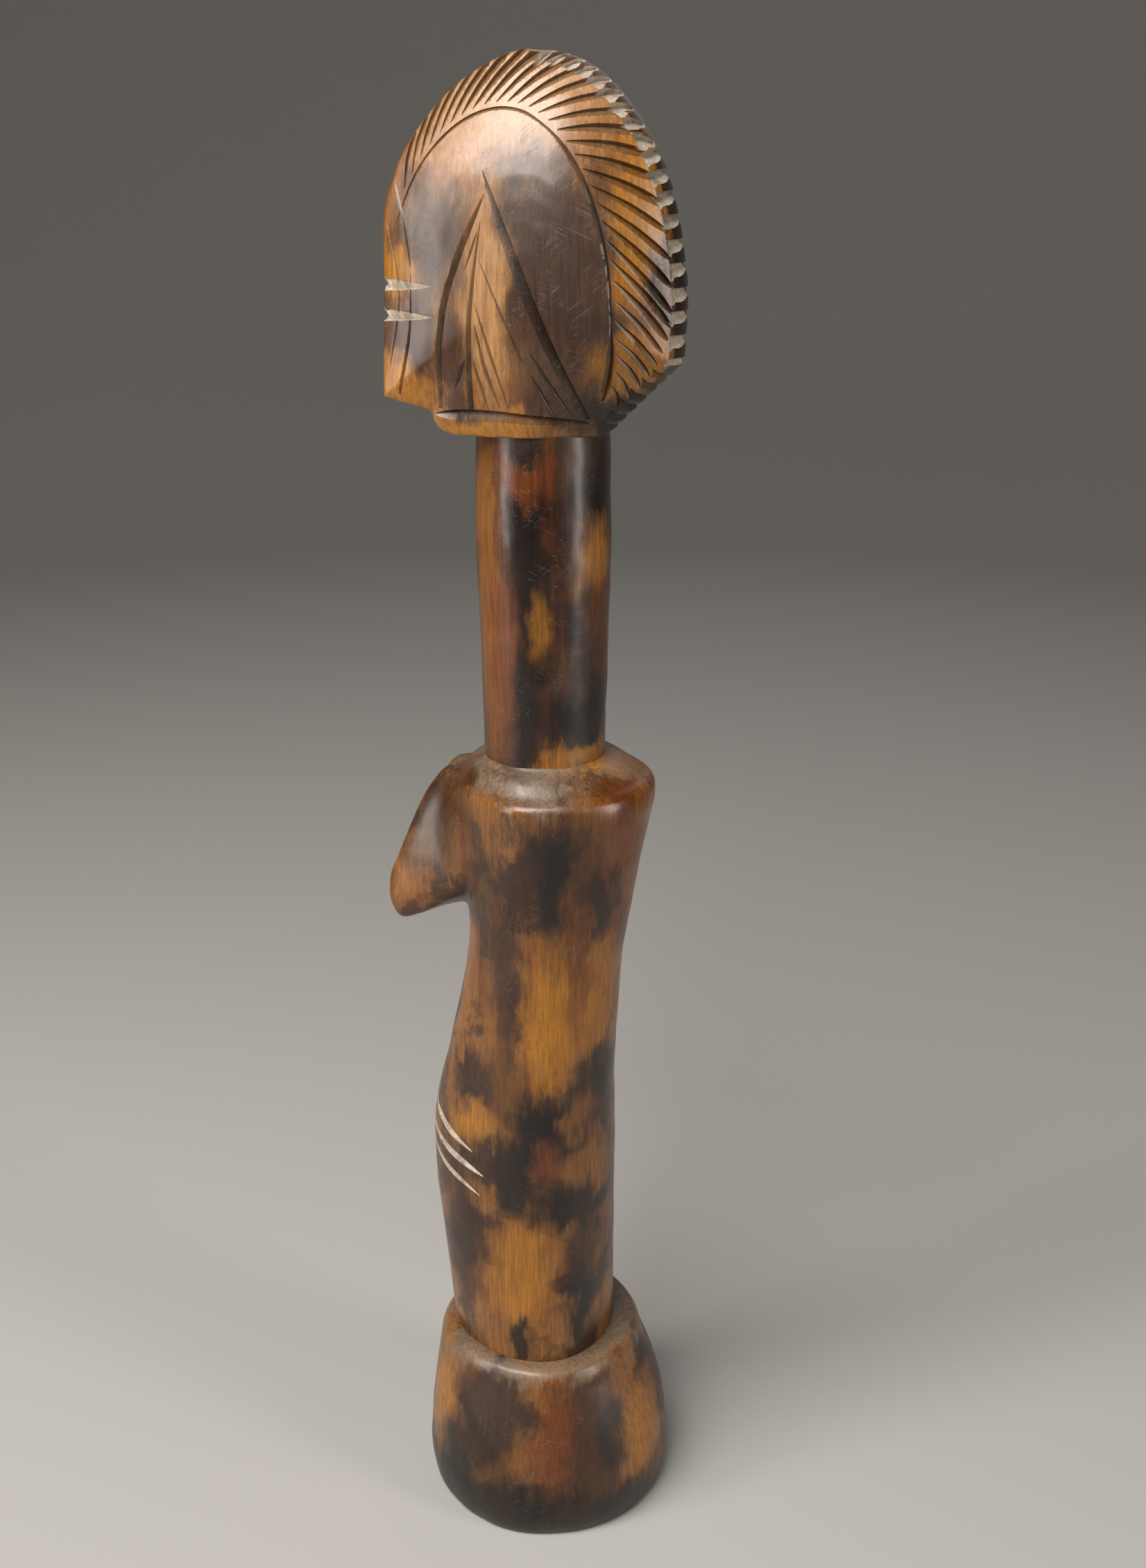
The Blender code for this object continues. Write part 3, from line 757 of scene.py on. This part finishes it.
# Places on a cheek are (distance behind the middle, height above the head's underside). An oval has a middle
# and its reach to each side; degrees run over it from the face side across the top to the nape.
cheekLook = {
    "arc": {"middle": (-3.5, 18), "front": 20, "back": 18, "rise": 32, "under": 26},
    "rim": {"middle": (0.5, 20), "front": 26, "back": 22.5, "rise": 39, "under": 19},
    # each stroke of the arc: its degrees, width, where it is widest and the share of the width at its end
    "arcStrokes": [(28, 116, 0.6, 0.6, 0.5), (110, 180, 0.95, 0.5, 0.35), (178, 207, 1.5, 0.75, 0.35)],
    # cuts from the arc out to the rim, swept back more and more; in front of "edge" they run off the rim
    "hatch": {"count": 31, "starts": (38, 200), "ends": (43, 231), "gap": 1.03, "bow": 0.4, "edge": 100,
              "width": (0.8, 0.6), "unevenness": 0.2, "seed": 4},
    # each line: its start, its end, its bow to the left, its width, where it is widest, the share at its end
    "leaf": [((-6, 41), (10, 3), 0, 1.75, 0.45, 0.75)],
    "leafFront": [((-5.5, 37.5), (-14, 4.5), -2.5, 1.2, 0.35, 0.7)],
    "veins": [
        ((-6, 33.5), (-8.5, 4), -0.7, 1.0, 0.85, 0.6),
        ((-4, 35), (5, 14.5), 0.3, 0.6, 0.5, 0.2),
        ((2, 14), (8, 3), 0, 0.6, 0.5, 0.2),
        ((-18.5, 25.5), (-21, 6.5), 1, 0.6, 0.8, 0.4),
    ],
    "veinsMore": [
        ((-6.5, 28.5), (1, 12), 0, 0.4, 0.5, 0.2),
        ((-7, 18), (-3.5, 5), -0.4, 0.7, 0.6, 0.2),
        ((-9, 12.5), (-11, 8), 0, 0.7, 0.5, 0.2),
        ((2, 10.5), (5, 4), 0, 0.6, 0.5, 0.2),
        ((-21.5, 39), (-18.5, 26.5), 0.4, 0.5, 0.5, 0.5),
    ],
    "veinsFine": [
        ((-7, 21.5), (-2, 5), 0, 0.5, 0.5, 0.2),
        ((-6.5, 32), (-8.5, 26.5), 0, 0.4, 0.5, 0.2),
        ((-7.5, 12.5), (-5.5, 4.5), 0, 0.5, 0.5, 0.2),
        ((-23, 33), (-22.5, 11), 2, 0.45, 0.5, 0.3),
    ],
    "lip": [((-15, 3.5), (10, 2.5), 0.5, 2.1, 0.25, 0.3)],
}

scarCuts = {"levels": (23.6, 18.9), "width": 1.75, "back": -14.6, "front": 5.5}

crestCuts = {
    "pitch": (2.5, 3.7, 2.3),  # on the crown, down the back and under the heel
    "pitchRun": 22,  # below the top, over which the teeth grow from the first pitch to the second
    "scalesTo": 0.62,  # share of that run with scales; below it there are bars
    "depth": 1.25, "barRamp": 1.5, "margin": 1.2, "step": 0.2,
}


def onOval(shape, degrees, grown=1.0):
    # a point on an oval whose four sides reach out differently
    across, up = -math.cos(math.radians(degrees)), math.sin(math.radians(degrees))
    reach = shape["back"] if across > 0 else shape["front"]
    rise = shape["rise"] if up > 0 else shape["under"]
    return (shape["middle"][0] + grown * reach * across, shape["middle"][1] + grown * rise * up)


def bowed(start, end, bow):
    # a line through three points, with its middle pushed to the left of the way it runs
    run, climb = end[0] - start[0], end[1] - start[1]
    side = bow / math.hypot(run, climb)
    return [start, ((start[0] + end[0]) / 2 - climb * side, (start[1] + end[1]) / 2 + run * side), end]


def arcRows(look):
    rows = []
    for first, last, width, peak, end in look["arcStrokes"]:
        points = [onOval(look["arc"], first + (last - first) * k / 6) for k in range(7)]
        rows.append((points, width, peak, end))
    return rows


def hatchRows(look):
    plan = look["hatch"]
    chance = random.Random(plan["seed"])
    rows = []
    for k in range(plan["count"]):
        share = k / (plan["count"] - 1)
        start, stop = [first + (last - first) * share for first, last in (plan["starts"], plan["ends"])]
        points = bowed(onOval(look["arc"], start, plan["gap"]), onOval(look["rim"], stop), plan["bow"])
        thin, more = plan["width"]
        uneven = 1 + plan["unevenness"] * chance.uniform(-1, 1)
        width = (thin + more * math.sin(math.pi * share)) * uneven
        rows.append((points, width, 0.75, 0.9 if stop < plan["edge"] else 0.25))
    return rows


def cheekRows(look):
    cuts = {"arc": arcRows(look)}
    for name in ("leaf", "leafFront", "veins", "veinsMore", "veinsFine", "lip"):
        cuts[name] = [(bowed(start, end, bow), *rest) for start, end, bow, *rest in look[name]]
    cuts["hatch"] = hatchRows(look)
    return cuts


def spaced(points, step):
    # the same line with evenly spaced points, without its last one
    ends = [0.0]
    for a, b in zip(points, points[1:]):
        ends.append(ends[-1] + math.dist(a, b))
    count = max(1, round(ends[-1] / step))
    even, span = [], 0
    for k in range(count):
        along = ends[-1] * k / count
        while ends[span + 1] < along:
            span += 1
        t = (along - ends[span]) / (ends[span + 1] - ends[span])
        even.append([a + t * (b - a) for a, b in zip(points[span], points[span + 1])])
    return even


def quarter(middle, reach, rise, fullness=2.0, steps=36):
    # from the top of an ellipse down to its side, which reach gives with its sign
    points = []
    for k in range(steps + 1):
        turn = math.radians(90 * k / steps)
        across, up = math.sin(turn) ** (2 / fullness), max(0.0, math.cos(turn)) ** (2 / fullness)
        points.append((middle[0] + reach * across, middle[1] + rise * up))
    return points


def headStretches(look):
    # the side outline in stretches, each with its rim's half width at both ends, and whether it is crested
    face, back, tall = -headBox[0].y / mm, headBox[1].y / mm, (headBox[1].z - headBox[0].z) / mm
    crown = look["crownBack"]
    seat = look["neckRadius"] + 0.6
    chin, brow = (-face, look["chinHeight"]), (-face, look["browHeight"])
    jaw = (-seat - look["jawLength"], look["jawHeight"])
    heel = (back - look["heelInset"], look["heelHeight"])
    forehead = quarter((crown, look["browHeight"]), -face - crown, tall - look["browHeight"],
                       look["foreheadFullness"])[::-1]
    behind = quarter((crown, look["backHeight"]), back - crown, tall - look["backHeight"])
    widths = ("chinWidth", "browWidth", "crestWidth", "napeWidth")
    chinHalf, browHalf, crest, nape = [look[width] / 2 for width in widths]
    return [
        ([chin, brow], chinHalf, browHalf, False),
        (forehead, browHalf, crest, False),
        (behind + [heel], crest, crest, True),
        ([heel, (seat, 0.0)], crest, nape, True),
        ([(seat, 0.0), (0.0, 0.0)], nape, seat, False),
        ([(0.0, 0.0), (-seat, 0.0)], seat, chinHalf, False),
        ([(-seat, 0.0), (-seat - 2.2, 0.7), (-seat - 3.6, 2.0), jaw, chin], chinHalf, chinHalf, False),
    ]


def headRings(look):
    outline = []
    for points, first, last, crested in headStretches(look):
        even = spaced(points, look["step"])
        for k, (y, height) in enumerate(even):
            t = k / len(even)
            outline.append((y, height, first + (last - first) * t * t * (3 - 2 * t), crested))
    hub, half, bottom = look["hub"], look["halfWidth"], headBox[0].z / mm

    def ring(share, hand):
        points = []
        for y, height, rim, _ in outline:
            x = hand * (rim + (half - rim) * (1 - share ** look["domePower"]))
            level = bottom + hub[1] + share * (height - hub[1])
            points.append(Vector((x, hub[0] + share * (y - hub[0]), level)) * mm)
        return points

    def band(across):
        # across the rim, crowned a little along the crest
        points = []
        for y, height, rim, crested in outline:
            out = Vector((0, y - hub[0], height - hub[1])).normalized()
            drop = look["crown"] * across ** 2 if crested else 0.0
            points.append((Vector((across * rim, y, bottom + height)) - out * drop) * mm)
        return points

    shares = [0.06, 0.16, 0.27, 0.38, 0.48, 0.57, 0.65, 0.72, 0.79, 0.85, 0.90, 0.93, 0.955]
    left = [ring(share, 1) for share in shares]
    right = [ring(share, -1) for share in shares]
    return left + [band(across) for across in (1, 0.66, 0.33, 0, -0.33, -0.66, -1)] + right[::-1]


def cheekSpots(tree, points, hand, bottom):
    spots = []
    steps = 8 if len(points) > 2 else 14
    for y, height in smoothRow(points, steps):
        start = Vector((hand * clear, y, bottom + height)) * mm
        place, normal, _, _ = tree.ray_cast(start, Vector((-hand, 0, 0)))
        if place is None or abs(normal.x) < 0.25:
            place = spots[-1][0] * 2 - spots[-2][0]  # run straight on past the rim
            normal = spots[-1][1]
        spots.append((place, normal))
    return spots


def cheekBlades(tree, cuts, bottom):
    groups = []
    for name, rows in cuts.items():
        batches = [rows[0::2], rows[1::2]] if name in ("hatch", "arc") else [rows]
        for batch in batches:
            bm = bmesh.new()
            for points, width, peak, end in batch:
                for hand in (1, -1):
                    cutBlade(bm, cheekSpots(tree, points, hand, bottom), width, peak, end)
            groups.append(bm)
    return groups


def scarBlades(tree, cuts, bottom):
    # chips that wrap round the corner between the cheek and the face
    bm = bmesh.new()
    face = headBox[0].y / mm
    for hand in (1, -1):
        for level in cuts["levels"]:
            side, front = [], []
            for k in range(9):
                y = cuts["back"] + (face + 1.4 - cuts["back"]) * k / 8
                start = Vector((hand * clear, y, bottom + level)) * mm
                side.append(tree.ray_cast(start, Vector((-hand, 0, 0)))[:2])
            corner = hand * side[-1][0].x / mm
            for k in range(6):
                x = corner - 1.4 - (corner - 1.4 - cuts["front"]) * k / 5
                start = Vector((hand * x, -clear, bottom + level)) * mm
                front.append(tree.ray_cast(start, Vector((0, 1, 0)))[:2])
            turn = (side[-1][1] + front[0][1]).normalized()
            start = Vector((hand * corner, face, bottom + level)) * mm + turn * 3 * mm
            middle = tree.ray_cast(start, -turn)[:2]
            cutBlade(bm, side + [(middle[0], turn)] + front, cuts["width"], 0.6, 0.12, 0.5)
    return [bm]


def crestFrame(look, step):
    # points down the crest with the direction along it and the direction out of it
    points = []
    for line, _, _, crested in headStretches(look):
        if crested:
            points += spaced(line, step)
    frames = []
    for i, (y, height) in enumerate(points):
        before, after = points[max(i - 3, 0)], points[min(i + 3, len(points) - 1)]
        along = Vector((0, after[0] - before[0], after[1] - before[1])).normalized()
        frames.append((Vector((0, y, height + headBox[0].z / mm)), along, Vector((0, -along.z, along.y))))
    return frames


def wedge(bm, frameAt, sections, drop, proud=1.0):
    # a ramped chip: an upright wall, then a ramp that rises out; sections run across the crest, whose
    # sides lie lower than its middle
    place, along, out = frameAt
    rings = []
    for x, start, ramp, deep in sections:
        foot = place + Vector((x, 0, 0)) + along * start - out * drop * x * x
        rings.append([
            (foot + out * proud) * mm,
            (foot - out * deep) * mm,
            (foot + along * ramp * (1 + proud / deep) + out * proud) * mm,
        ])
    drawUp(bm, rings)


def crestBlades(look, cuts):
    step = cuts["step"]
    frames = crestFrame(look, step)
    groups = [bmesh.new() for _ in range(6)]  # four for the crown and back, two for under the heel
    edge = look["crestWidth"] / 2 + cuts["margin"]
    deep = cuts["depth"]
    drop = look["crown"] / (look["crestWidth"] / 2) ** 2
    heelHeight = headBox[0].z / mm + look["heelHeight"]
    at, tooth = 0.0, 0
    while at < (len(frames) - 1) * step:
        frameAt = frames[int(at / step)]
        place = frameAt[0]
        heelTurn = place.z < heelHeight
        share = min(1.0, max(0.0, (headBox[1].z / mm - place.z) / cuts["pitchRun"]))
        crownPitch, backPitch, heelPitch = cuts["pitch"]
        pitch = heelPitch if heelTurn else crownPitch + (backPitch - crownPitch) * share
        if share < cuts["scalesTo"] and not heelTurn:
            # scale-like chips in two rows, with a triangle of the old surface left between them
            for row, hand in enumerate((1, -1)):
                sections = [
                    (hand * edge, 0, pitch * 0.95, deep),
                    (hand * edge * 0.5, pitch * 0.28, pitch * 0.66, deep * 0.75),
                    (hand * 0.25, pitch * 0.62, pitch * 0.30, deep * 0.45),
                ]
                wedge(groups[(tooth % 2) * 2 + row], frameAt, sections, drop)
        else:
            wide = edge + (look["napeWidth"] - look["crestWidth"]) / 2 * (1 if heelTurn else 0)
            ramp = cuts["barRamp"]
            side = (0, ramp * 1.2, deep)
            sections = [(wide, *side), (0, 0.1, ramp * 0.8, deep * 0.55), (-wide, *side)]
            flatter = drop * (look["crestWidth"] / look["napeWidth"]) ** 2
            wedge(groups[4 + tooth % 2 if heelTurn else (tooth % 2) * 2], frameAt, sections,
                  flatter if heelTurn else drop)
        at += pitch
        tooth += 1
    return groups[:4], groups[4:]


def makeHead(look):
    bm = bmesh.new()
    drawUp(bm, headRings(look))
    wood = waxedWood("scorched head wood", "honey", look["stainsAndPaintedLight"], 0.34, 0.5, 0.35)
    # the faces inside the cuts: paler wood darkened to 0.45, painted shade in the cuts
    cutWood = waxedWood("cut head wood in painted shade", "pale", look["stainsAndPaintedLight"][:-2], 0.40, 0.3, 0.5, 0.45)
    crestWood = waxedWood("worn crest wood", "bare", [], 0.30, 0.0, 0.25, 1.0)
    scarWood = bpy.data.materials["bare scar wood"]
    piece = finishObject("carved_head", bm, wood, cutWood, crestWood, scarWood)
    evenSkin(piece, look["voxel"], 4)
    knifeWork(piece, look["waves"], 17)
    tree = treeOf(piece)
    bottom = headBox[0].z / mm
    crest, heel = crestBlades(look, crestCuts)
    carve(piece, crest, crestWood)
    # the chips under the heel take the darkened cut wood too, painted shade under the head
    carve(piece, heel + cheekBlades(tree, cheekRows(cheekLook), bottom), cutWood)
    carve(piece, scarBlades(tree, scarCuts, bottom), scarWood)
    shadeCarved(piece, 32)
    return piece


# floor

floorLook = {"flat": 900, "bend": 700, "wall": 1500, "colour": "#A09D98"}


def makeFloor(look):
    # a pale round sweep: flat in the middle, rising all round far from the doll
    bm = bmesh.new()
    profile = [(look["flat"], 0)]
    for turn in range(6, 91, 6):
        angle = math.radians(turn)
        profile.append((look["flat"] + look["bend"] * math.sin(angle), look["bend"] * (1 - math.cos(angle))))
    profile.append((look["flat"] + look["bend"], look["wall"]))
    bmesh.ops.create_circle(bm, cap_ends=True, segments=96, radius=profile[0][0] * mm)
    edges = [edge for edge in bm.edges if edge.is_boundary]
    for (near, low), (far, high) in zip(profile, profile[1:]):
        drawn = bmesh.ops.extrude_edge_only(bm, edges=edges)["geom"]
        verts = [item for item in drawn if isinstance(item, bmesh.types.BMVert)]
        edges = [item for item in drawn if isinstance(item, bmesh.types.BMEdge)]
        bmesh.ops.scale(bm, vec=(far / near, far / near, 1), verts=verts)
        bmesh.ops.translate(bm, vec=(0, 0, (high - low) * mm), verts=verts)
    for face in bm.faces:
        face.smooth = True
    for face in bm.faces:
        if face.normal.z < -0.001:
            face.normal_flip()
    paint = bpy.data.materials.new("pale matt paint")  # a broad matt floor that only carries a soft shadow
    paint.use_nodes = True
    shader = paint.node_tree.nodes["Principled BSDF"]
    shader.inputs["Base Color"].default_value = linear(look["colour"])
    shader.inputs["Roughness"].default_value = 0.85
    mesh = bpy.data.meshes.new("floor")
    bm.to_mesh(mesh)
    bm.free()
    mesh.materials.append(paint)
    floor = bpy.data.objects.new("floor", mesh)
    bpy.context.scene.collection.objects.link(floor)
    return floor


setCamera(viewing)
setLights(lighting, viewing)
makeFloor(floorLook)
print("camera, floor and lights are set")

base = makeBase(baseLook)
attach(base, "root")
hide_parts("base")
print("base carved:", len(base.data.polygons), "faces")

torso = makeTorso(torsoLook, breastLook, footReach(baseLook))
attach(torso, "root")
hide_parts("torso", "left_breast", "right_breast")
print("torso carved:", len(torso.data.polygons), "faces")

neck = makeNeck(neckLook)
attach(neck, "root")
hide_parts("neck")
print("neck carved:", len(neck.data.polygons), "faces")

head = makeHead(headLook)
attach(head, "root")
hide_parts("head")
print("head carved:", len(head.data.polygons), "faces")
